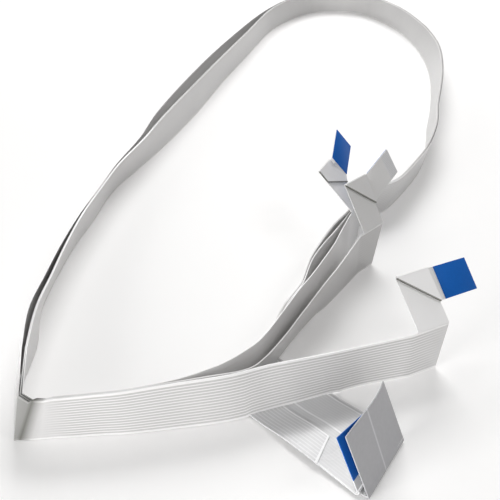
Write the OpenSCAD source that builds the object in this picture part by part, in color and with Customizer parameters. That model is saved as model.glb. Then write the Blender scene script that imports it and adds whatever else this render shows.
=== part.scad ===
// Printhead cable: three flat ribbons that stand on edge in one loop, folded to a pair of wide
// head ends at the front and to three separate board ends in the middle.
// Units are millimetres, +Z is up, the table is z = 0.

/* [Ribbons] */
// Width of each flat ribbon
ribbon_w = 16; // [12:0.5:20]
// Thickness of the ribbon film
film_t = 0.3; // [0.2:0.05:0.5]
// Free gap between ribbons that lie face to face
lay_gap = 0.05; // [0.02:0.01:0.2]
// Furthest the outer ribbon stands off on the left of the loop
spread = 7; // [0:0.5:10]
// How far the loop reaches behind the middle of the part
loop_reach = 250; // [180:5:300]
// How far the loop bulges to the right of the middle of the part
loop_bulge = 98; // [80:2:120]

/* [Board ends] */
// Width of the legs that are folded up out of the ribbons
leg_w = 12; // [11:0.5:15]
// Length of ribbon A's folded leg
leg_a = 18.8; // [16:0.2:26]
// Length of ribbon B's folded leg
leg_b = 21; // [16:0.2:26]
// Length of ribbon C's folded leg
leg_c = 19.8; // [16:0.2:26]
// Width of the tabs that turn aside from the legs
tab_w = 10.6; // [8:0.2:10.8]
// Length of each board tab beyond its fold
tab_l = 18; // [14:0.5:24]
// Plain film between the fold and the stiffener
band_l = 3.2; // [2:0.2:6]

/* [Head ends] */
// Width of the two head films
head_w = 24; // [18:0.5:28]
// Sideways step between the two head films
head_step = 1.5; // [0.5:0.5:3]
// Height of the folded-up outer head tab, along its left edge
flap_h = 22; // [16:0.5:28]
// How much lower the outer head tab is at its right edge
flap_drop = 1.6; // [0:0.2:4]
// How much lower the inner head tab is than the outer one at its left edge
inner_drop = 1; // [0:0.5:3]
// How much lower the inner head tab is at its right edge
inner_slope = 3; // [0:0.5:5]
// Slope of the folded-up head tabs, degrees from the table
flap_tilt = 71; // [60:1:80]
// Space between the two folded-up head tabs
flap_gap = 2.4; // [1.6:0.2:4]
// Plain film between the outer head tab's fold and its plate
plate_low = 1; // [0.5:0.5:4]
// Plain film between the inner head tab's fold and its plate
inner_low = 6; // [2:0.5:10]

/* [Tabs] */
// Thickness of the stiffener plates
stiff_t = 0.25; // [0.15:0.05:0.4]
// Number of contact fingers on a board tab
board_pins = 15; // [10:1:18]
// Number of contact fingers on a head tab
head_pins = 23; // [16:1:26]
// Thickness of the contact fingers
contact_t = 0.08; // [0.05:0.01:0.12]
// Bare length of the contact fingers
contact_l = 5; // [3:0.5:7]
// Width of a contact finger, as a share of the pitch
finger_share = 0.6; // [0.4:0.05:0.75]
// Width of the thin bar at the roots of the fingers
bar_w = 0.5; // [0.3:0.1:1]

/* [Hidden] */
// Whole part set down so that its box is centred on the origin
shift = [-2.4, -0.9, 0];
// The loop, from the head fold round the right, the far end and the left: x, y, share of the spread
loop = [
  [-28, -210.2, 0.03], [-23.4, -206, 0.03], [-18, -199.4, 0.03], [-11.1, -185.8, 0.03],
  [-5.7, -174, 0.03], [-3, -167.5, 0.03], [1.4, -154.5, 0.05], [5.8, -144, 0.12], [12.4, -129, 0.25],
  [18.6, -117.5, 0.05], [22.4, -107.5, 0.03], [26.5, -100, 0.03], [33, -93, 0.03], [42, -85, 0.03],
  [53, -66.5, 0.03], [62.5, -47, 0.05], [71, -22, 0.05], [77, 5, 0.05], [83, 28, 0.05],
  [89, 54, 0.05], [94.5, 84, 0.05], [97.5, 110, 0.05], [98, 134, 0.05], [96.5, 158, 0.05],
  [90.5, 194, 0.05], [82, 218, 0.05], [72, 237, 0.05], [60, 247, 0.05], [44, 250, 0.05],
  [31, 246, 0.05], [20, 236, 0.05], [8, 220, 0.1], [-4, 196, 0.2], [-12, 171, 0.5],
  [-22, 134, 0.85], [-36, 85, 1], [-50, 32, 0.9], [-62.5, -12, 0.65], [-71.5, -42, 0.3],
  [-80.5, -70, 0.1], [-85, -96, 0.06], [-89, -118, 0.14], [-91.5, -142, 0.17], [-92.5, -164, 0.17],
  [-91, -184, 0.2], [-90, -204, 0.15]];
// The sharp left corner of each ribbon, outer to inner
corner_a = [-88, -227];
corner_c = [-87.5, -226.5];
corner_b = [-87, -226];
// The front runs from the left corner towards the board ends
run_a = [[-75, -226], [-47, -222.5], [-20, -217], [-5, -212.5], [14, -206]];
run_c = [[-75, -225.5], [-49, -222], [-34, -218.4], [-25, -214], [-19, -208.5], [-12, -197],
  [-7, -188], [-2.5, -180], [3.5, -169], [10.5, -157.5]];
run_b = [[-75, -225], [-60, -223.1], [-46, -219.9], [-36, -216.6], [-28, -212], [-22.4, -207],
  [-16.8, -200], [-9.7, -186], [-3.8, -174], [1.3, -163], [9.5, -144.5], [14, -134]];
// Where each board end leaves its ribbon: x, y, heading, lean back of the leg, turn, bend and twist of
// the tab, and how far its fold line starts below the leg's top
end_a = [42.7, -192.6, 28, 48.5, 1, -11, 3, 0];
end_b = [24.9, -109, 66, 45, 26, 8.5, 14, 5];
end_c = [31, -127.5, 47, 32.5, 18.5, 3.5, 11, 0];
// Head films: where they come out under the front run, their heading and the skew of the fold line
head_at = [-17.9, -217.8];
head_turn = -47.5;
outer_y = 0.3;
fold_x = 43;
fold_skew = 0.303;
// Length of head film that is cut back to the ribbons' feet, and room cleared behind them
head_root = 30;
root_room = 60;
// Where the loop's own reach and bulge begin, and the route's values for both
loop_from = -60;
route_reach = 250;
route_bulge = 98;
// How far the twisted neck of a tab is set into the film at either end
neck_in = 0.05;
// How far a folded layer laps over the edge that it is folded from
lap = 0.2;
// How far the bar runs under the roots of the fingers, and the fingers stop short of a sloping tip
bar_lap = 0.1;
tip_in = 0.02;
// Smoothing steps between two route points
steps = 4;
pitch = film_t + lay_gap;
run_z = 2 * film_t;
end_z = run_z + ribbon_w;
inner_h = flap_h - inner_drop;
fold_l = head_w * sqrt(1 + fold_skew * fold_skew);
fold_turn = head_turn + 90 + atan(fold_skew);

function mid(a, b, c, d, t) =
  0.5 * (2 * b + (c - a) * t + (2 * a - 5 * b + 4 * c - d) * t * t + (3 * b - a - 3 * c + d) * t * t * t);
function pick(p, i) = p[max(0, min(len(p) - 1, i))];
function smooth(p) = concat(
  [for (i = [0:len(p) - 2]) for (j = [0:steps - 1])
    mid(pick(p, i - 1), p[i], p[i + 1], pick(p, i + 2), j / steps)],
  [p[len(p) - 1]]);
function flat(p) = [p[0], p[1]];
function unit(v) = v / norm(v);
function along(p, i) = unit(flat(pick(p, i + 1)) - flat(pick(p, i - 1)));
function right_of(p, i) = [along(p, i)[1], -along(p, i)[0]];
function side(p, d) = [for (i = [0:len(p) - 1]) flat(p[i]) + d * right_of(p, i)];
function back(p) = [for (i = [len(p) - 1:-1:0]) p[i]];
// One layer of the loop: k counts layers outwards, far is its share of the spread
function layer(k, far) = let (p = smooth(sized))
  [for (i = [0:len(p) - 1]) flat(p[i]) + right_of(p, i) * (k * pitch + far * spread * p[i][2])];
// The route with its far part drawn out to the chosen reach and bulge
function reach_y(y) = y < loop_from ? y
  : loop_from + (y - loop_from) * (loop_reach - loop_from) / (route_reach - loop_from);
function bulge_x(x, y) = y < loop_from || x < 0 ? x
  : x * (1 + (loop_bulge / route_bulge - 1) * min(1, (y - loop_from) / (-loop_from)));
sized = [for (p = loop) [bulge_x(p[0], p[1]), reach_y(p[1]), p[2]]];
function heading(e) = [cos(e[2]), sin(e[2])];
function run(corner, pts, e) = concat(
  smooth(concat([corner], pts, [flat(e) - (leg_w + 2) * heading(e)])), [flat(e)]);

path_a = concat(layer(2, 1), [corner_a]);
path_b = concat(layer(0, 0), [corner_b]);
path_c = concat(layer(1, 0.1), [corner_c]);

// A ribbon standing on edge along a path
module wall(p, z) {
  translate([0, 0, z])
    linear_extrude(height = ribbon_w)
      polygon(concat(side(p, film_t / 2), back(side(p, -film_t / 2))));
}

// The folded leg's own frame: x along the ribbon, y up the leg, z towards the front
module at_leg(e) {
  translate([e[0], e[1], end_z])
    rotate([90 - e[3], 0, e[2]])
      children();
}

// The board tab's own frame, on the fold at the end of the leg
module at_tab(e, leg) {
  at_leg(e)
    translate([0, leg - leg_w / 2, film_t])
      rotate([e[6], -e[5], e[4]])
        children();
}

// A leg, its end folded back over its front, and a tab that turns aside from that fold
module board_end(e, leg) {
  low = leg - leg_w / 2 - tab_w / 2;
  at_leg(e) {
    linear_extrude(height = film_t)
      polygon([[-leg_w, -film_t], [0, -film_t], [0, leg], [-leg_w, leg]]);
    translate([0, 0, film_t])
      linear_extrude(height = film_t)
        polygon(concat([[lap, low], [lap, leg], [-leg_w, leg]], e[7] > 0 ? [[-leg_w, leg - e[7]]] : []));
  }
  hull() {
    at_leg(e)
      translate([-neck_in, low + neck_in, film_t + neck_in])
        cube([neck_in, tab_w - 2 * neck_in, film_t - 2 * neck_in]);
    at_tab(e, leg)
      translate([band_l, neck_in - tab_w / 2, neck_in])
        cube([neck_in, tab_w - 2 * neck_in, film_t - 2 * neck_in]);
  }
  at_tab(e, leg)
    translate([band_l - 2 * neck_in, -tab_w / 2, 0])
      cube([tab_l - band_l + 2 * neck_in, tab_w, film_t]);
}

module ribbon(path, corner, pts, e, leg) {
  color([0.86, 0.87, 0.88]) {
    wall(path, 0);
    wall(run(corner, pts, e), run_z);
    board_end(e, leg);
  }
}

// Plate over the end of a tab, from the band to the tab's tip
module plate(e, leg, z) {
  color([0.06, 0.13, 0.55])
    at_tab(e, leg)
      translate([band_l, -tab_w / 2, z])
        cube([tab_l - band_l, tab_w, stiff_t]);
}

// Fingers across a tab's tip, tied by one thin bar at their roots
module fingers(width, count, z) {
  step = width / (count + 1);
  color([0.8, 0.81, 0.82])
    translate([0, 0, z]) {
      for (i = [1:count])
        translate([-contact_l, (i - finger_share / 2) * step, 0])
          cube([contact_l, finger_share * step, contact_t]);
      translate([bar_lap - bar_w - contact_l, (1 - finger_share / 2) * step, 0])
        cube([bar_w, width - (2 - finger_share) * step, contact_t]);
    }
}

module board_fingers(e, leg, z) {
  at_tab(e, leg)
    translate([tab_l, -tab_w / 2, 0])
      fingers(tab_w, board_pins, z);
}

module ribbon_a() {
  ribbon(path_a, corner_a, run_a, end_a, leg_a);
}

module ribbon_b() {
  ribbon(path_b, corner_b, run_b, end_b, leg_b);
}

module ribbon_c() {
  ribbon(path_c, corner_c, run_c, end_c, leg_c);
}

module stiffener_a() {
  plate(end_a, leg_a, film_t);
}

module stiffener_b() {
  plate(end_b, leg_b, film_t);
}

module stiffener_c() {
  plate(end_c, leg_c, -stiff_t);
}

module contacts_a() {
  board_fingers(end_a, leg_a, -contact_t);
}

module contacts_b() {
  board_fingers(end_b, leg_b, -contact_t);
}

module contacts_c() {
  board_fingers(end_c, leg_c, film_t);
}

// Head films: x along the film from under the front run, y across it
module at_head() {
  translate([head_at[0], head_at[1], 0])
    rotate([0, 0, head_turn])
      children();
}

// The folded-up tab's own frame: x along the fold, y up the tab, z outwards
module at_flap(y, inset, z) {
  at_head()
    translate([fold_x - inset * sqrt(1 + fold_skew * fold_skew) - fold_skew * y, y, z])
      rotate([0, 0, fold_turn - head_turn])
        rotate([flap_tilt, 0, 0])
          children();
}

// One flat head film from the ribbons' feet to its fold line, and its folded-up tab
module head_film(y, inset, z, left_h, right_h) {
  foot = side(path_a, film_t / 2);
  first = foot[0] - leg_w * along(path_a, 0);
  behind = [-root_room, root_room] / 2;
  reach = inset * sqrt(1 + fold_skew * fold_skew) - lap;
  color([0.82, 0.83, 0.84]) {
    translate([0, 0, z])
      linear_extrude(height = film_t)
        difference() {
          translate(head_at)
            rotate(head_turn)
              polygon([[-head_root, y], [fold_x - reach - fold_skew * y, y],
                [fold_x - reach - fold_skew * (y + head_w), y + head_w], [-head_root, y + head_w]]);
          polygon(concat([first], [for (i = [0:5 * steps]) foot[i]],
            [foot[5 * steps] + behind, first + behind]));
        }
    at_flap(y, inset, z)
      linear_extrude(height = film_t)
        polygon([[0, 0], [fold_l, 0], [fold_l, right_h], [0, left_h]]);
  }
}

// Plate on the outside of a folded-up head tab
module head_plate(y, inset, z, low, left_h, right_h) {
  at_flap(y, inset, z)
    translate([0, 0, film_t])
      linear_extrude(height = stiff_t)
        polygon([[0, low], [fold_l, low], [fold_l, right_h], [0, left_h]]);
}

// Fingers on the inside of a folded-up head tab, square to its sloping tip
module head_fingers(y, inset, z, left_h, right_h) {
  slope = atan((left_h - right_h) / fold_l);
  at_flap(y, inset, z)
    translate([fold_l, right_h, 0])
      rotate([0, 0, 90 - slope])
        translate([-tip_in, 0, 0])
          fingers(fold_l / cos(slope), head_pins, -contact_t);
}

module head_film_outer() {
  head_film(outer_y, 0, 0, flap_h, flap_h - flap_drop);
}

module head_film_inner() {
  head_film(outer_y - head_step, flap_gap, film_t, inner_h, inner_h - inner_slope);
}

module head_stiffener_outer() {
  color([0.6, 0.61, 0.62])
    head_plate(outer_y, 0, 0, plate_low, flap_h, flap_h - flap_drop);
}

module head_stiffener_inner() {
  color([0.06, 0.13, 0.55])
    head_plate(outer_y - head_step, flap_gap, film_t, inner_low, inner_h, inner_h - inner_slope);
}

module contacts_head_outer() {
  head_fingers(outer_y, 0, 0, flap_h, flap_h - flap_drop);
}

module contacts_head_inner() {
  head_fingers(outer_y - head_step, flap_gap, film_t, inner_h, inner_h - inner_slope);
}

translate(shift) {
  ribbon_a();
  ribbon_b();
  ribbon_c();
  head_film_outer();
  head_film_inner();
  stiffener_a();
  stiffener_b();
  stiffener_c();
  head_stiffener_outer();
  head_stiffener_inner();
  contacts_a();
  contacts_b();
  contacts_c();
  contacts_head_outer();
  contacts_head_inner();
}
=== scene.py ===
import math

import bpy
from mathutils import Matrix, Vector


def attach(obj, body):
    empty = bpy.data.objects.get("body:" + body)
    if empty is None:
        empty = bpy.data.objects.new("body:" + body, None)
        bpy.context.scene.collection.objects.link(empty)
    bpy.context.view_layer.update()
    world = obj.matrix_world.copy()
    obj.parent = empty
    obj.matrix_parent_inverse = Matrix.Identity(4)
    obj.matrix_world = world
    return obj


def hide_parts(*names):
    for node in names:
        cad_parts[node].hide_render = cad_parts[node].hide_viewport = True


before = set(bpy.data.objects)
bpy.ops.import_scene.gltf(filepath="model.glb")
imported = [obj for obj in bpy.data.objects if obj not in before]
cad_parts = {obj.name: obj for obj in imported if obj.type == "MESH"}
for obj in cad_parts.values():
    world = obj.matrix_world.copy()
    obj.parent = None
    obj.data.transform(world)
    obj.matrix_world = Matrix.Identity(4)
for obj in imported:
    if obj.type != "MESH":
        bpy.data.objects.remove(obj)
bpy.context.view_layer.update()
bpy.ops.object.select_all(action="DESELECT")

# The three ribbons: two white polyester films laminated over fifteen flat tinned conductors, which show
# through as grey stripes. Each stands on edge in one long loop from the head fold, is creased hard at
# the left corner and comes back along the front to a leg, two folds and a tab at its board end.

# width and thickness of the ribbons, the gap between two that lie together, and the loop's widest spread
ribbon_w, film_t, lay_gap, spread = 0.016, 0.0003, 0.00005, 0.007
# conductors in a ribbon, the share of its width that is plain at each edge, and its roughness
board_pins, plain_edge, ribbon_rough = 15, 0.04, 0.34
# the front runs cross over the two head films
run_z = 2 * film_t
# the legs, the tabs, and the plain band between a tab's fold and its plate
leg_w, tab_w, tab_l, band_l = 0.012, 0.0111, 0.018, 0.0026
# the whole part is set down so that its box is centred on the origin
shift = Vector((-0.0024, -0.0009, 0.0))
# the loop's route at half height: x, y, share of the spread, and how far the top leans into the loop
loop = [
    (-0.0284, -0.2099, 0.03, 0.0), (-0.0238, -0.2057, 0.03, 0.0), (-0.0182, -0.1993, 0.03, 0.0),
    (-0.0112, -0.1858, 0.03, 0.0), (-0.0054, -0.1742, 0.03, 0.0), (-0.0025, -0.1677, 0.03, 0.0),
    (0.0014, -0.1545, 0.05, 0.001), (0.0058, -0.144, 0.12, 0.002), (0.0124, -0.129, 0.25, 0.0015),
    (0.0186, -0.1175, 0.05, 0.0), (0.0224, -0.1075, 0.03, 0.0), (0.0265, -0.1, 0.03, 0.0),
    (0.033, -0.093, 0.03, -0.002), (0.042, -0.085, 0.03, -0.004), (0.053, -0.0665, 0.03, -0.004),
    (0.0625, -0.047, 0.05, -0.004), (0.071, -0.022, 0.05, -0.004), (0.077, 0.005, 0.05, -0.004),
    (0.083, 0.028, 0.05, -0.004), (0.089, 0.054, 0.05, -0.0045), (0.0945, 0.084, 0.05, -0.005),
    (0.0975, 0.11, 0.05, -0.0055), (0.098, 0.134, 0.05, -0.005), (0.0965, 0.158, 0.05, -0.0035),
    (0.0905, 0.194, 0.05, -0.0015), (0.082, 0.218, 0.05, 0.0), (0.072, 0.237, 0.05, 0.0),
    (0.06, 0.247, 0.05, 0.0), (0.044, 0.25, 0.05, 0.0), (0.031, 0.246, 0.05, 0.0),
    (0.02, 0.236, 0.05, 0.0), (0.008, 0.22, 0.1, 0.0), (-0.004, 0.196, 0.2, 0.0),
    (-0.012, 0.171, 0.5, 0.0), (-0.022, 0.134, 0.85, 0.0), (-0.036, 0.085, 1.0, 0.0),
    (-0.05, 0.032, 0.9, -0.0015), (-0.0625, -0.012, 0.65, 0.0), (-0.0715, -0.042, 0.3, 0.0035),
    (-0.0805, -0.07, 0.1, 0.005), (-0.0848, -0.096, 0.05, 0.0045), (-0.0886, -0.118, 0.1, 0.005),
    (-0.0909, -0.142, 0.2, 0.0055), (-0.0918, -0.164, 0.27, 0.0055), (-0.0904, -0.184, 0.28, 0.002),
    (-0.0898, -0.204, 0.14, 0.004)]
# each ribbon's place in the loop: layers outwards, and how much of the spread it takes
layers = {"a": (2, 1.0), "b": (0, 0.0), "c": (1, 0.02)}
# the foot of each hard corner, at the left end of the front runs
corners = {"a": (-0.088, -0.2274), "b": (-0.0871, -0.2264), "c": (-0.08755, -0.2269)}
# the front runs from the left corner: x, y, and how far the top leans away from the front
runs = {
    "a": [(-0.075, -0.227, -0.0014), (-0.0636, -0.2258, -0.001), (-0.055, -0.2249, -0.0004),
          (-0.0406, -0.222, 0.0008), (-0.0259, -0.2187, 0.0015), (-0.014, -0.2141, 0.0016),
          (-0.0045, -0.2109, 0.0008), (0.0048, -0.2076, -0.0002), (0.0146, -0.2039, -0.001)],
    "b": [(-0.075, -0.226, -0.0014), (-0.0636, -0.2248, -0.001), (-0.055, -0.2239, -0.0004),
          (-0.045, -0.2215, 0.0002), (-0.0372, -0.2182, 0.0), (-0.0322, -0.2153, -0.0002),
          (-0.0277, -0.2124, -0.0003), (-0.0221, -0.2072, -0.0004), (-0.0164, -0.2002, -0.0004),
          (-0.0092, -0.1862, 0.0), (-0.0032, -0.1743, 0.0008), (0.0028, -0.1637, 0.0016),
          (0.0115, -0.1454, 0.0022), (0.0153, -0.1346, 0.0018)],
    "c": [(-0.075, -0.2265, -0.0014), (-0.0636, -0.2253, -0.001), (-0.055, -0.2244, -0.0004),
          (-0.045, -0.2222, 0.0002), (-0.034, -0.2191, -0.0002), (-0.0225, -0.2143, -0.003),
          (-0.0176, -0.2085, -0.0044), (-0.0112, -0.197, -0.0049), (-0.0067, -0.188, -0.0049),
          (-0.0025, -0.18, -0.0047), (0.0035, -0.169, -0.004), (0.0105, -0.1575, -0.0026)]}
# where each leg leaves its ribbon, its heading and lean back in degrees, and its length
ends = {
    "a": {"at": (0.0427, -0.1926), "heading": 28, "lean": 48.5, "leg": 0.0188},
    "b": {"at": (0.0249, -0.109), "heading": 66, "lean": 45, "leg": 0.021},
    "c": {"at": (0.031, -0.1275), "heading": 47, "lean": 32.5, "leg": 0.0198}}
# the tab's turn, bend and twist in degrees, the step at its first fold, how far the folds spring
# open, and how far the ribbon's end crease is slanted
folds = {
    "a": {"turn": 1, "bend": -11, "twist": 3, "step": 0.0, "spring": 0.0012, "slant": 0.003},
    "b": {"turn": 26, "bend": 8.5, "twist": 14, "step": 0.005, "spring": 0.0007, "slant": 0.001},
    "c": {"turn": 18.5, "bend": 3.5, "twist": 11, "step": 0.0, "spring": 0.001, "slant": 0.005}}
# how high the layer behind a slanted fold lies, as a share of the fold's spring, and how deep the
# painted shadow on the film is as it rolls under there
behind_share, roll_painted_shade = 0.45, [-0.3, -0.8] + [-1.0] * 5
# the hard corner, crease by crease: where it starts on the foot edge, where it ends on the top edge, and
# how deep the painted shade on it is; two ridges with a pleat pinched in between them
pleat = [
    ((0.0, 0.0, 0.0), (0.003, 0.0015, 0.0156), -0.6),
    ((0.0007, 0.0003, 0.0), (0.0058, 0.0009, 0.0138), -0.72),
    ((0.0016, 0.0003, 0.0), (0.0074, 0.0001, 0.015), -0.92),
    ((0.005, 0.0002, 0.0), (0.0105, -0.0009, 0.0158), -0.16)]
# how far from the corner's foot the run takes over, and the run's lean where it leaves the corner
corner_l, corner_lean = 0.011, -0.003
# where a run's foot is lifted on to the head films and where it is down again, with the ramps there; the
# top edge is lifted more slowly, from the corner on
lift_from, lift_to = {"a": -0.0215, "b": -0.0275, "c": -0.0245}, 0.0078
lift_ramp, drop_ramp, top_ramp = 0.002, 0.003, 0.03
# the straight end below a leg, and the slant that the hidden start is creased on, with its first height
end_l, slant_l, slant_start = leg_w + 0.002, 0.04, 0.1
# how clearly the stripes show on the loop and on each run, and how far from its ends they fade
loop_stripes, run_stripes = 0.15, {"a": 1.0, "b": 0.9, "c": 0.15}
fade_in, fade_out = 0.006, 0.01
# steps between two points of a route
route_steps = 6


def shader_node(tree, kind, inputs, **settings):
    """Adds a node, sets its options, and links or sets its inputs by name or place."""
    made = tree.nodes.new(kind)
    for option, value in settings.items():
        setattr(made, option, value)
    for socket, value in inputs.items():
        if isinstance(value, bpy.types.NodeSocket):
            tree.links.new(value, made.inputs[socket])
        else:
            made.inputs[socket].default_value = value
    return made


def laminated_film(name, wires, margin, colours, rough, seam=-1.0):
    """White film over flat conductors. UV y runs across the film, and is below 0 where it is plain; UV x
    says how clearly the stripes show, and below 0 how deep the painted shade of a crease is."""
    finish = bpy.data.materials.new(name)
    finish.use_nodes = True
    tree = finish.node_tree
    shader = tree.nodes["Principled BSDF"]
    uv = shader_node(tree, "ShaderNodeUVMap", {})
    across = shader_node(tree, "ShaderNodeSeparateXYZ", {0: uv.outputs["UV"]})
    pitches = shader_node(
        tree, "ShaderNodeMapRange",
        {"Value": across.outputs["Y"], "From Min": margin, "From Max": 1.0 - margin, "To Max": wires},
        clamp=False)
    to_gap = shader_node(tree, "ShaderNodeMath", {0: pitches.outputs[0], 1: 0.5}, operation="PINGPONG")
    wire = shader_node(
        tree, "ShaderNodeMapRange", {"Value": to_gap.outputs[0], "From Min": 0.08, "From Max": 0.24},
        interpolation_type="SMOOTHSTEP")
    from_middle = shader_node(
        tree, "ShaderNodeMath", {0: across.outputs["Y"], 1: 0.5}, operation="SUBTRACT")
    off_middle = shader_node(tree, "ShaderNodeMath", {0: from_middle.outputs[0]}, operation="ABSOLUTE")
    inside = shader_node(
        tree, "ShaderNodeMath", {0: off_middle.outputs[0], 1: 0.5 - margin}, operation="LESS_THAN")
    from_seam = shader_node(tree, "ShaderNodeMath", {0: across.outputs["Y"], 1: seam}, operation="SUBTRACT")
    off_seam = shader_node(tree, "ShaderNodeMath", {0: from_seam.outputs[0]}, operation="ABSOLUTE")
    clear = shader_node(
        tree, "ShaderNodeMapRange", {"Value": off_seam.outputs[0], "From Min": 0.006, "From Max": 0.02},
        interpolation_type="SMOOTHSTEP")
    covered = shader_node(
        tree, "ShaderNodeMath", {0: inside.outputs[0], 1: clear.outputs[0]}, operation="MULTIPLY")
    shown = shader_node(
        tree, "ShaderNodeMath", {0: across.outputs["X"], 1: 1.0}, operation="MULTIPLY", use_clamp=True)
    dark = shader_node(
        tree, "ShaderNodeMath", {0: across.outputs["X"], 1: -1.0}, operation="MULTIPLY", use_clamp=True)

    def mixed(share, first, second):
        """A blend of two colours, each of them fixed or a blend itself."""
        made = shader_node(tree, "ShaderNodeMix", {"Factor": share.outputs[0]}, data_type="RGBA")
        for socket, value in (("A", first), ("B", second)):
            if isinstance(value, bpy.types.Node):
                tree.links.new(value.outputs["Result"], made.inputs[socket])
            else:
                made.inputs[socket].default_value = value
        return made

    striped = mixed(wire, colours["film"], colours["wire"])
    even = mixed(shown, colours["even"], striped)
    laminate = mixed(covered, colours["film"], even)
    # painted shade: where UV x is below 0 the film turns towards the crease colour
    creased = mixed(dark, laminate, colours["crease"])
    place = shader_node(tree, "ShaderNodeTexCoord", {})
    haze = shader_node(
        tree, "ShaderNodeTexNoise", {"Vector": place.outputs["Object"], "Scale": 45.0, "Detail": 3.0})
    cloud = shader_node(
        tree, "ShaderNodeMapRange",
        {"Value": haze.outputs["Fac"], "From Min": 0.3, "From Max": 0.7, "To Min": 0.97, "To Max": 1.02})
    worn_and_shaded = shader_node(
        tree, "ShaderNodeVectorMath", {0: creased.outputs["Result"], "Scale": cloud.outputs[0]},
        operation="SCALE")
    smear = shader_node(
        tree, "ShaderNodeMapRange",
        {"Value": haze.outputs["Fac"], "From Min": 0.3, "From Max": 0.7, "To Min": rough - 0.04,
         "To Max": rough + 0.06})
    raised = shader_node(
        tree, "ShaderNodeMath", {0: wire.outputs[0], 1: covered.outputs[0]}, operation="MULTIPLY")
    ridge = shader_node(
        tree, "ShaderNodeBump",
        {"Height": raised.outputs[0], "Strength": shown.outputs[0], "Distance": 0.000015})
    tree.links.new(worn_and_shaded.outputs[0], shader.inputs["Base Color"])
    tree.links.new(smear.outputs[0], shader.inputs["Roughness"])
    tree.links.new(ridge.outputs[0], shader.inputs["Normal"])
    return finish


def smooth(points, steps):
    """A smooth line through given points, with a few steps between each two of them."""
    line = [Vector(p) for p in points]
    out = []
    for i in range(len(line) - 1):
        a, b = line[max(i - 1, 0)], line[i]
        c, d = line[i + 1], line[min(i + 2, len(line) - 1)]
        for j in range(steps):
            t = j / steps
            out.append(0.5 * (2 * b + (c - a) * t + (2 * a - 5 * b + 4 * c - d) * t * t
                              + (3 * b - a - 3 * c + d) * t * t * t))
    return out + [line[-1]]


def right_of(line, i):
    """The level direction to the right of a line at one of its points."""
    a, b = line[max(i - 1, 0)], line[min(i + 1, len(line) - 1)]
    along = Vector((b[0] - a[0], b[1] - a[1], 0.0)).normalized()
    return Vector((along[1], -along[0], 0.0))


def standing(at, out, lean, z):
    """Foot and top edge of a ribbon on edge, its top leaning away from out."""
    foot = Vector((at[0], at[1], z)) + out * lean / 2
    return foot, foot - out * lean + Vector((0, 0, math.sqrt(ribbon_w ** 2 - lean ** 2)))


class Film:
    """Collects strips of one film and makes them one mesh with a wire-wise UV map."""

    def __init__(self):
        self.points, self.faces, self.uvs = [], [], []

    def strip(self, rows, cells=4, across=(-0.5, -0.5), marks=None):
        """Adds a strip of film, given as rows from its low edge to its high edge."""
        first = len(self.points)
        for n, (low, high) in enumerate(rows):
            for c in range(cells + 1):
                self.points.append(Vector(low).lerp(Vector(high), c / cells))
                mark = marks[n] if marks else 0.0
                self.uvs.append((mark, across[0] + (across[1] - across[0]) * c / cells))
        for n in range(len(rows) - 1):
            for c in range(cells):
                a = first + n * (cells + 1) + c
                self.faces.append((a, a + cells + 1, a + cells + 2, a + 1))

    def finish(self, name, thick, material):
        """Makes the piece, gives it its material and thickens it to both sides."""
        mesh = bpy.data.meshes.new(name)
        mesh.from_pydata([p + shift for p in self.points], [], self.faces)
        layer = mesh.uv_layers.new(name="UVMap")
        for corner in mesh.loops:
            layer.data[corner.index].uv = self.uvs[corner.vertex_index]
        piece = bpy.data.objects.new(name, mesh)
        bpy.context.collection.objects.link(piece)
        bpy.ops.object.select_all(action="DESELECT")
        bpy.context.view_layer.objects.active = piece
        piece.select_set(True)
        mesh.materials.append(material)
        body = piece.modifiers.new("thickness", "SOLIDIFY")
        body.thickness = thick
        body.offset = 0.0
        bpy.ops.object.modifier_apply(modifier="thickness")
        bpy.ops.object.shade_smooth_by_angle(angle=math.radians(32))
        return piece


def leg_frame(key):
    """x along the ribbon, y up the leg, z towards the front."""
    end = ends[key]
    turn = Matrix.Rotation(math.radians(end["heading"]), 4, "Z")
    tilt = Matrix.Rotation(math.radians(90 - end["lean"]), 4, "X")
    return Matrix.Translation((end["at"][0], end["at"][1], run_z + ribbon_w)) @ turn @ tilt


def tab_frame(key):
    """x along the tab from its fold, y across it, z out of the face that is seen."""
    fold = folds[key]
    turn = Matrix.Rotation(math.radians(fold["turn"]), 4, "Z")
    bend = Matrix.Rotation(math.radians(-fold["bend"]), 4, "Y")
    twist = Matrix.Rotation(math.radians(fold["twist"]), 4, "X")
    root = Matrix.Translation((0, ends[key]["leg"] - leg_w / 2, film_t))
    return leg_frame(key) @ root @ turn @ bend @ twist


sixths = [step / 6 for step in range(7)]
half_turn = [math.pi * step / 6 for step in range(7)]


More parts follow.
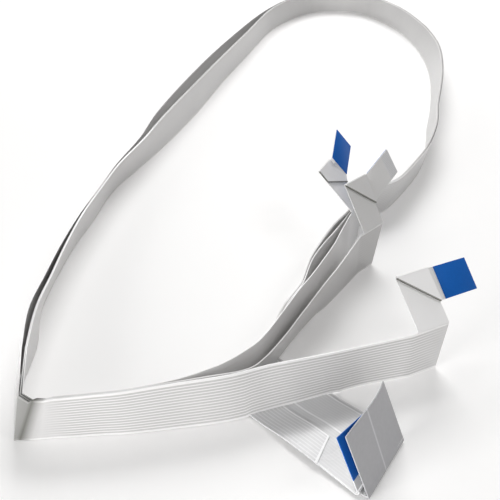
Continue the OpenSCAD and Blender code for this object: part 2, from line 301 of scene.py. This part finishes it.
def board_end(film, key):
    """The leg, the fold over its top, the slanted second fold and the tab that comes out behind it."""
    leg, tab, top = leg_frame(key), tab_frame(key), ends[key]["leg"]
    spring, half = folds[key]["spring"], tab_w / 2
    low, fold_y = top - leg_w / 2 - half, top - spring / 2
    mid, front, behind = film_t / 2, film_t / 2 + spring, film_t / 2 + behind_share * spring
    film.strip([(leg @ Vector((-leg_w, y, mid)), leg @ Vector((0, y, mid)))
                for y in (0.0, 0.3 * top, 0.6 * top, 0.9 * top, fold_y)])
    roll = [(fold_y + spring / 2 * math.sin(a), mid + spring / 2 * (1 - math.cos(a))) for a in half_turn]
    film.strip([(leg @ Vector((-leg_w, y, z)), leg @ Vector((0, y, z))) for y, z in roll])
    high_left, high_right = Vector((-leg_w, fold_y, front)), Vector((0, fold_y, front))
    step_down = Vector((-leg_w, fold_y - folds[key]["step"], front))
    low_right = Vector((0, low, front))
    film.strip([(leg @ step_down.lerp(low_right, q), leg @ high_left.lerp(high_right, q)) for q in sixths])
    # the slanted crease rolls under, in its own shadow, to the layer behind that leaves as the tab
    along = (low_right - step_down).normalized()
    outward = Vector((along[1], -along[0], 0.0))
    round_r = (front - behind) / 2
    brow = [(step_down, outward), (low_right, outward)]
    if folds[key]["step"] > 0:
        leftward = Vector((-1, 0, 0))
        brow = [(high_left, leftward), (step_down, (outward + leftward).normalized()), brow[1]]

    def rolled_under(point, aside, a):
        sunk = round_r * (1 - math.cos(a))
        return leg @ (point + aside * round_r * math.sin(a) - Vector((0, 0, sunk)))

    # painted shadow along the rolled-under crease
    for (start, start_out), (stop, stop_out) in zip(brow, brow[1:]):
        film.strip([(rolled_under(start, start_out, a), rolled_under(stop, stop_out, a))
                    for a in half_turn], marks=roll_painted_shade)
    tab_root = [Vector((0.0, low, behind)), Vector((0.0, low + tab_w, behind))]
    drop = Vector((0, 0, behind - front))
    film.strip([(leg @ (step_down.lerp(low_right, q) + drop), leg @ (step_down + drop).lerp(tab_root[1], q))
                for q in sixths])
    film.strip([(leg @ tab_root[0], leg @ tab_root[1])]
               + [(tab @ Vector((x, -half, mid)), tab @ Vector((x, half, mid)))
                  for x in (band_l, 0.4 * tab_l, 0.7 * tab_l, tab_l)])
    # the middle line of the leg and the tab
    return [leg @ Vector((-leg_w / 2, y, mid)) for y in (0.3 * top, 0.6 * top, top - leg_w / 2)] + [
        tab @ Vector((x, 0, mid)) for x in (band_l, tab_l)]


# the white film, the conductors where they show as stripes, and the even tone where they blur together;
# the three ribbons are one film, and their tones differ as painted light and shade: darker on c, which
# stands in shade, lighter on a and b
ribbon_tones_lit_and_shaded = {
    "a": {"film": (0.92, 0.91, 0.905, 1.0), "wire": (0.6, 0.592, 0.587, 1.0),
          "even": (0.7, 0.692, 0.687, 1.0)},
    "b": {"film": (0.86, 0.85, 0.845, 1.0), "wire": (0.86, 0.852, 0.845, 1.0),
          "even": (0.64, 0.632, 0.627, 1.0)},
    "c": {"film": (0.74, 0.732, 0.725, 1.0), "wire": (0.5, 0.492, 0.487, 1.0),
          "even": (0.54, 0.532, 0.527, 1.0)}}
# painted shade, laid into the corner pleat and along each rolled slanted fold
painted_crease_shade = (0.1, 0.1, 0.085, 1.0)
base = smooth(loop, route_steps)
ribbons, centre_lines = {}, {}
for key in ("a", "b", "c"):
    film, rows, marks, gone = Film(), [], [], 0.0
    layer_no, spread_share = layers[key]
    for i, p in enumerate(base):
        out = right_of(base, i)
        stand_off = layer_no * (film_t + lay_gap) + spread_share * spread * p[2]
        low, high = standing(Vector((p[0], p[1], 0.0)) + out * stand_off, out, p[3], 0.0)
        # the hidden start is creased on a long slant, where the ribbon turns down to the head films
        before = base[max(i - 1, 0)]
        gone += Vector((p[0] - before[0], p[1] - before[1])).length
        rows.append((low, low.lerp(high, min(1.0, slant_start + gone / slant_l))))
        marks.append(loop_stripes)
    foot = Vector(corners[key] + (0.0,))
    # painted shade over the corner's facets and creases, by each crease's mark
    for foot_edge, top_edge, dark in pleat:
        rows.append((foot + Vector(foot_edge), foot + Vector(top_edge)))
        marks.append(dark)
    end, heading = Vector(ends[key]["at"] + (0.0,)), math.radians(ends[key]["heading"])
    tail = end - Vector((math.cos(heading), math.sin(heading), 0.0)) * end_l
    line = smooth([corners[key] + (corner_lean,)] + runs[key] + [tuple(tail)], route_steps) + [end]
    for i, p in enumerate(line):
        done = Vector((p[0] - foot[0], p[1] - foot[1])).length - corner_l
        left = Vector((p[0] - end[0], p[1] - end[1])).length
        if done > 0:
            low, high = standing(p, right_of(line, i), p[2] if left > end_l else 0.0, run_z)
            # the foot edge rides over the head films and lies on the table either side of them
            climbed, to_drop = (p[0] - lift_from[key]) / lift_ramp, (lift_to - p[0]) / drop_ramp
            low[2] = run_z * min(1.0, max(0.0, climbed), max(0.0, to_drop))
            back = (line[i] - line[i - 1]).normalized()
            low -= Vector((back[0], back[1], 0.0)) * folds[key]["slant"] * max(0.0, 1 - left / end_l)
            high[2] -= run_z * max(0.0, 1 - done / top_ramp)
            rows.append((low, high))
            marks.append(run_stripes[key] * min(1.0, done / fade_in, left / fade_out))
    film.strip(rows, across=(0.0, 1.0), marks=marks)
    middles = [(low + high) / 2 for low, high in rows]
    centre_lines[key] = [p + shift for p in middles + board_end(film, key)]
    tones = {**ribbon_tones_lit_and_shaded[key], "crease": painted_crease_shade}
    ribbon = film.finish("ribbon_film_" + key, film_t, laminated_film(
        "ribbon_film_" + key, board_pins, plain_edge, tones, ribbon_rough))
    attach(ribbon, "root")
    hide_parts("ribbon_" + key)
    ribbons[key] = ribbon

# The two wide head films: white film over finer conductors, laid flat one on the other under the front
# run and folded up at the front into a steep pair of tabs. A narrow strip is lapped over the left side.

# where the films start and head, the outer one's side, the inner one's step from it, and their width
head_at, head_turn, outer_y, head_step, head_w = (-0.0179, -0.2178), -47.5, 0.0003, 0.0015, 0.024
# conductors, the share of the width that is plain at each edge, the seam's place across the film, the
# roughness, and how clearly the stripes show
head_pins, head_plain_edge, head_seam, head_rough, head_stripes = 23, 0.02, 0.5625, 0.24, 0.14
# the root edge, cut in a shallow curve
root_x, root_curve = -0.0106, 9.5
# the fold, its skew and rounding, the film that the rounding takes up, and the trim at its right end
fold_x, fold_skew, fold_round, fold_back, fold_trim = 0.043, 0.303, 0.001, 0.0012, 0.0003
# the folded-up tabs: tilt in degrees, gap, height, how their tops slope, their flare and their bow
flap_tilt, flap_gap, flap_flare, flap_bow, bow_from = 71.0, 0.0024, 0.0022, 0.008, 0.55
flap_h, flap_drop, inner_drop, inner_slope = 0.022, 0.0016, 0.001, 0.003
# the film of a tab stops just inside its plate, in shares of height and width
film_low, film_high, film_inset = 0.09, 0.985, 0.012
# the swell of the flat part off the table, from a slanted line near the front run to the fold
swell_h, swell_rise, swell_crest, swell_stop = 0.001, 0.011, 0.022, 0.041
swell_from, swell_slant, crown_share = 0.002, 0.41, 0.2
# the lapped strip, from just in front of the front run's foot to its own slanted end; past the striped
# share of its width, and in its last step, it is plain film, a painted highlight on its right edge and end
lap_w, lap_l, lap_over, lap_highlight_from = 0.0087, 0.0252, 0.0003, 0.95
lap_from, lap_from_slant, lap_end_slant = -0.0008, 0.388, 0.46
lap_across, lap_stripes, lap_steps = (0.02, 0.38), 0.4, 30
# steps along and across the flat part
flat_steps, side_steps = 16, 8
# the crease colour here is painted crease shade, which no head strip uses
head_tones = {
    "film": (0.8, 0.8, 0.805, 1.0), "wire": (0.52, 0.52, 0.525, 1.0), "even": (0.6, 0.6, 0.605, 1.0),
    "crease": (0.1, 0.1, 0.1, 1.0)}
head_finish = laminated_film(
    "head_film", head_pins, head_plain_edge, head_tones, head_rough, seam=head_seam)
ahead = Vector((math.cos(math.radians(head_turn)), math.sin(math.radians(head_turn)), 0))
sideways = Vector((-ahead[1], ahead[0], 0))
fold_dir = (sideways - fold_skew * ahead).normalized()
fold_out = Vector((fold_dir[1], -fold_dir[0], 0))
up = Vector((0, 0, 1))
climb = up * math.sin(math.radians(flap_tilt)) - fold_out * math.cos(math.radians(flap_tilt))
face_out = fold_out * math.sin(math.radians(flap_tilt)) + up * math.cos(math.radians(flap_tilt))


def head_flat(x, y, z):
    """A point of the flat part, which swells a little off the table in the middle."""
    start = swell_from + swell_slant * max(y, 0.0)
    crest, stop = max(start + swell_rise, swell_crest), swell_stop - fold_skew * y
    rise = min(1.0, max(0.0, (x - start) / swell_rise))
    fall = min(1.0, max(0.0, (stop - x) / (stop - crest)))
    swell = rise * rise * (3 - 2 * rise) * fall
    crown = 1 - crown_share + crown_share * math.sin(math.pi * min(max(y / head_w, 0.0), 1.0))
    return Vector((head_at[0], head_at[1], z + swell_h * swell * crown)) + ahead * x + sideways * y


def fold_at(y, inset):
    """How far ahead the fold lies at a place across the film."""
    return fold_x - inset * math.sqrt(1 + fold_skew ** 2) - fold_skew * y


def head_tab(tab, share, height, out):
    """A point of a folded-up tab: share of its width, share of its height, and how far in front of it."""
    y = tab["y"] + share * head_w - flap_flare * (1 - share) * height
    foot = Vector((head_at[0], head_at[1], tab["z"])) + ahead * fold_at(y, tab["inset"]) + sideways * y
    high = tab["left"] + (tab["right"] - tab["left"]) * share
    bow = flap_bow * max(0.0, share - bow_from) ** 2 * height
    return foot + climb * (high * height) + face_out * (out - bow)


head_tabs = {
    "outer": {"y": outer_y, "inset": 0.0, "z": film_t / 2, "left": flap_h, "right": flap_h - flap_drop},
    "inner": {"y": outer_y - head_step, "inset": flap_gap, "z": film_t * 1.5, "left": flap_h - inner_drop,
              "right": flap_h - inner_drop - 2 * inner_slope}}
film_shares = [film_inset + (1 - 2 * film_inset) * q / 10 for q in range(11)]
for name, tab in head_tabs.items():
    film, rows = Film(), []
    edges = (tab["y"], tab["y"] + head_w - fold_trim)
    for q in range(flat_steps + 1):
        row = []
        for n in range(side_steps + 1):
            y = edges[0] + head_w * n / side_steps
            start, stop = root_x - root_curve * y * y, fold_at(y, tab["inset"]) - fold_back
            row.append(head_flat(start + (stop - start) * q / flat_steps, y, tab["z"]))
        rows.append(row)
    for n in range(side_steps):
        film.strip([(row[n], row[n + 1]) for row in rows], cells=1,
                   across=(n / side_steps, (n + 1) / side_steps), marks=[head_stripes] * len(rows))
    bend_rows = []
    for step in range(7):
        a = math.radians((180 - flap_tilt) * step / 6)
        row = []
        for y in edges:
            foot = head_flat(fold_at(y, tab["inset"]) - fold_back, y, tab["z"])
            row.append(foot + fold_out * fold_round * math.sin(a) + up * fold_round * (1 - math.cos(a)))
        bend_rows.append(row)
    film.strip(bend_rows, cells=8)
    film.strip([(head_tab(tab, v, film_low, 0.0), head_tab(tab, v, film_high, 0.0)) for v in film_shares],
               cells=8)
    if name == "inner":
        lap = []
        for q in range(lap_steps + 1):
            row = []
            for y in (edges[0] - lap_over, lap_w):
                begin, stop = lap_from_slant * y + lap_from, lap_l - lap_end_slant * y
                row.append(head_flat(begin + (stop - begin) * q / lap_steps, y, tab["z"] + film_t))
            lap.append(row)
        # stripes up to the last step, then plain film along the right edge and at the end as a painted
        # highlight
        striped = [(low, low.lerp(high, lap_highlight_from)) for low, high in lap]
        film.strip(striped[:lap_steps], cells=6, across=lap_across, marks=[lap_stripes] * lap_steps)
        film.strip([(low.lerp(high, lap_highlight_from), high) for low, high in lap], cells=1)
        film.strip(striped[lap_steps - 1:], cells=6)
    sheet = film.finish("head_sheet_" + name, film_t, head_finish)
    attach(sheet, "root")
    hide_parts("head_film_" + name)

# The stiffeners: stiff plastic plates glued behind the contacts at each tip, royal blue except for the
# plain grey one on the outer head tab.

# thickness, rounding of the edges, and how far in front of its film's middle a head plate is set
stiff_t, plate_round, plate_out = 0.00025, 0.00008, 0.0003


def plate_plastic(name, colour, rough, shine, seam=None):
    """Plastic sheet with a fine grain in its colour and on its surface."""
    finish = bpy.data.materials.new(name)
    finish.use_nodes = True
    tree = finish.node_tree
    shader = tree.nodes["Principled BSDF"]
    place = shader_node(tree, "ShaderNodeTexCoord", {})
    grain = shader_node(
        tree, "ShaderNodeTexNoise", {"Vector": place.outputs["Object"], "Scale": 900.0, "Detail": 2.0})
    shade = shader_node(
        tree, "ShaderNodeMapRange", {"Value": grain.outputs["Fac"], "To Min": 0.94, "To Max": 1.06})
    tint = shader_node(
        tree, "ShaderNodeVectorMath", {0: colour, "Scale": shade.outputs[0]}, operation="SCALE")
    pores = shader_node(
        tree, "ShaderNodeBump", {"Height": grain.outputs["Fac"], "Strength": 0.08, "Distance": 0.00005})
    tree.links.new(tint.outputs[0], shader.inputs["Base Color"])
    if seam:
        # a paler line along the plate from foot to top, by its share of the width in UV x
        plate_uv = shader_node(tree, "ShaderNodeUVMap", {})
        across = shader_node(tree, "ShaderNodeSeparateXYZ", {0: plate_uv.outputs[0]})
        aside = shader_node(tree, "ShaderNodeMath", {0: across.outputs["X"], 1: seam}, operation="SUBTRACT")
        near = shader_node(tree, "ShaderNodeMath", {0: aside.outputs[0]}, operation="ABSOLUTE")
        pale = shader_node(
            tree, "ShaderNodeMapRange",
            {"Value": near.outputs[0], "From Min": 0.006, "From Max": 0.018, "To Min": 1.35, "To Max": 1.0})
        lined = shader_node(
            tree, "ShaderNodeVectorMath", {0: tint.outputs[0], "Scale": pale.outputs[0]}, operation="SCALE")
        tree.links.new(lined.outputs[0], shader.inputs["Base Color"])
    tree.links.new(pores.outputs[0], shader.inputs["Normal"])
    shader.inputs["Roughness"].default_value = rough
    shader.inputs["Specular IOR Level"].default_value = shine
    return finish


blue_plastic = plate_plastic("blue_stiffener", (0.006, 0.125, 0.5), 0.45, 0.15)
grey_plastic = plate_plastic("grey_stiffener", (0.48, 0.477, 0.492), 0.5, 0.3, seam=0.47)
for key, seen in (("a", True), ("b", True), ("c", False)):
    bpy.ops.object.select_all(action="DESELECT")
    bpy.ops.mesh.primitive_cube_add(size=1.0)
    plate = bpy.context.object
    plate.name = "stiffener_plate_" + key
    plate.scale = (tab_l - band_l, tab_w, stiff_t)
    bpy.ops.object.transform_apply(location=False, rotation=False, scale=True)
    soft = plate.modifiers.new("soft_edges", "BEVEL")
    soft.width, soft.segments = plate_round, 2
    bpy.ops.object.modifier_apply(modifier="soft_edges")
    z = film_t + stiff_t / 2 if seen else -stiff_t / 2
    plate.data.transform(
        Matrix.Translation(shift) @ tab_frame(key) @ Matrix.Translation(((tab_l + band_l) / 2, 0, z)))
    bpy.ops.object.shade_smooth_by_angle(angle=math.radians(40))
    plate.data.materials.append(blue_plastic)
    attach(plate, "root")
    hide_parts("stiffener_" + key)

tenths = [q / 10 for q in range(11)]
for name, low, material, slot in (
    ("outer", 0.01, grey_plastic, "grey_stiffener"), ("inner", 0.28, blue_plastic, "blue_stiffener"),
):
    film, tab = Film(), head_tabs[name]
    film.strip([(head_tab(tab, v, low, plate_out), head_tab(tab, v, 1.0, plate_out)) for v in tenths],
               cells=8, marks=tenths)
    plate = film.finish("head_plate_" + name, stiff_t, material)
    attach(plate, "root")
    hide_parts("head_stiffener_" + name)

# The contacts: the films' own flat conductors, of tinned copper. The film is stripped from them at each
# tip, on the side away from the stiffener, so that they lie bare in a comb.

# thickness, bare length and rounding of a contact, and its share of the pitch
contact_t, contact_l, contact_round, finger_share = 0.00008, 0.005, 0.00003, 0.6
# a head comb's two ends, in shares of its tab's height, and how far it is set from the film's middle
comb_low, comb_high, comb_out = 0.77, 0.98, -0.00023
tin = bpy.data.materials.new("tinned_contacts")
tin.use_nodes = True
tin_shader = tin.node_tree.nodes["Principled BSDF"]
tin_place = shader_node(tin.node_tree, "ShaderNodeTexCoord", {})
brush = shader_node(
    tin.node_tree, "ShaderNodeTexNoise", {"Vector": tin_place.outputs["Object"], "Scale": 1500.0})
dull = shader_node(
    tin.node_tree, "ShaderNodeMapRange", {"Value": brush.outputs["Fac"], "To Min": 0.3, "To Max": 0.55})
tin.node_tree.links.new(dull.outputs[0], tin_shader.inputs["Roughness"])
tin_shader.inputs["Metallic"].default_value = 0.5
tin_shader.inputs["Base Color"].default_value = (0.8, 0.805, 0.83, 1.0)
for key, z in (("a", -contact_t), ("b", -contact_t), ("c", film_t)):
    step = tab_w / (board_pins + 1)
    bpy.ops.object.select_all(action="DESELECT")
    bpy.ops.mesh.primitive_cube_add(size=1.0)
    fingers = bpy.context.object
    fingers.name = "contact_comb_" + key
    fingers.scale = (contact_l, finger_share * step, contact_t)
    bpy.ops.object.transform_apply(location=False, rotation=False, scale=True)
    rounded = fingers.modifiers.new("rounded", "BEVEL")
    rounded.width, rounded.segments = contact_round, 1
    bpy.ops.object.modifier_apply(modifier="rounded")
    fingers.data.transform(Matrix.Translation((-contact_l / 2, step, contact_t / 2)))
    row = fingers.modifiers.new("row", "ARRAY")
    row.use_relative_offset = False
    row.use_constant_offset = True
    row.constant_offset_displace = (0, step, 0)
    row.count = board_pins
    bpy.ops.object.modifier_apply(modifier="row")
    fingers.data.transform(
        Matrix.Translation(shift) @ tab_frame(key) @ Matrix.Translation((tab_l, -tab_w / 2, z)))
    fingers.data.materials.append(tin)
    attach(fingers, "root")
    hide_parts("contacts_" + key)

for name, tab in head_tabs.items():
    film = Film()
    for pin in range(head_pins):
        sides = [(pin + 1 + side * finger_share / 2) / (head_pins + 1) for side in (-1, 1)]
        film.strip([(head_tab(tab, v, comb_low, comb_out), head_tab(tab, v, comb_high, comb_out))
                    for v in sides], cells=3)
    fingers = film.finish("contact_comb_head_" + name, contact_t, tin)
    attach(fingers, "root")
    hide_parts("contacts_head_" + name)

# The three ribbons are flat film cable that lies free between its two ends. Each leaves the head fold
# and ends in its board plug, with its plate and contacts.

# The table, the lights and the camera: a smooth white table top that the loop stands on, lit by a broad
# box behind it and weaker ones round about, and seen from in front and above.

# size of the table, how far along the loop its middle is, how far it lies below the film, and its glow
table_size, table_y, table_drop, table_glow = 6.0, 0.6, 0.0002, 0.13
room_light = 0.24
bpy.ops.object.select_all(action="DESELECT")
bpy.ops.mesh.primitive_plane_add(size=table_size, location=(0, table_y, -table_drop))
table = bpy.context.object
table.name = "table"
white = bpy.data.materials.new("white_table")
white.use_nodes = True
white_shader = white.node_tree.nodes["Principled BSDF"]
white_shader.inputs["Base Color"].default_value = (0.9, 0.895, 0.89, 1.0)
white_shader.inputs["Roughness"].default_value = 0.6
white_shader.inputs["Specular IOR Level"].default_value = 0.2
# the table glows a little to the camera and in reflections, and lights nothing by it
rays = shader_node(white.node_tree, "ShaderNodeLightPath", {})
seen_or_mirrored = shader_node(
    white.node_tree, "ShaderNodeMath",
    {0: rays.outputs["Is Camera Ray"], 1: rays.outputs["Is Glossy Ray"]}, operation="MAXIMUM")
lift = shader_node(
    white.node_tree, "ShaderNodeMapRange", {"Value": seen_or_mirrored.outputs[0], "To Max": table_glow})
white.node_tree.links.new(lift.outputs[0], white_shader.inputs["Emission Strength"])
white_shader.inputs["Emission Color"].default_value = (1.0, 0.985, 0.975, 1.0)
table.data.materials.append(white)

sky = bpy.data.worlds.new("soft_room")
bpy.context.scene.world = sky
sky.use_nodes = True
sky.node_tree.nodes["Background"].inputs["Color"].default_value = (1.0, 1.0, 1.0, 1.0)
sky.node_tree.nodes["Background"].inputs["Strength"].default_value = room_light

# each lamp: its place, what it is aimed at, its side and its power
for name, at, aim, size, watts in (
    ("back_box", (0.08, 0.95, 0.95), (0.0, 0.0, 0.0), 0.8, 14.5),
    ("far_box", (0.12, 1.0, 1.18), (0.0, -0.2, 0.0), 0.26, 0.8),
    ("right_box", (0.75, -0.4, 0.95), (0.0, -0.15, 0.0), 0.4, 1.8),
    ("front_box", (-0.6, -0.68, 0.19), (-0.05, -0.22, 0.0), 0.35, 4.2),
    ("low_box", (0.1, -0.9, 0.14), (0.0, -0.2, 0.0), 0.4, 1.0),
):
    lamp = bpy.data.lights.new(name, "AREA")
    lamp.shape, lamp.size, lamp.energy = "SQUARE", size, watts
    holder = bpy.data.objects.new(name, lamp)
    bpy.context.collection.objects.link(holder)
    holder.location = at
    holder.rotation_euler = (Vector(aim) - Vector(at)).to_track_quat("-Z", "Y").to_euler()

# half the frame and the focal length in pixels, the camera's place, and how far down it looks in degrees
half_frame_px, focal_px, eye_at, look_down = 250, 800, Vector((-0.02, -0.397, 0.166)), 31
lens = bpy.data.cameras.new("camera")
lens.angle = 2 * math.atan(half_frame_px / focal_px)
lens.clip_start = 0.01
eye = bpy.data.objects.new("camera", lens)
bpy.context.collection.objects.link(eye)
eye.location = eye_at + shift
eye.rotation_euler = (math.radians(90 - look_down), 0.0, 0.0)
bpy.context.scene.camera = eye
bpy.context.scene.view_settings.view_transform = "Standard"
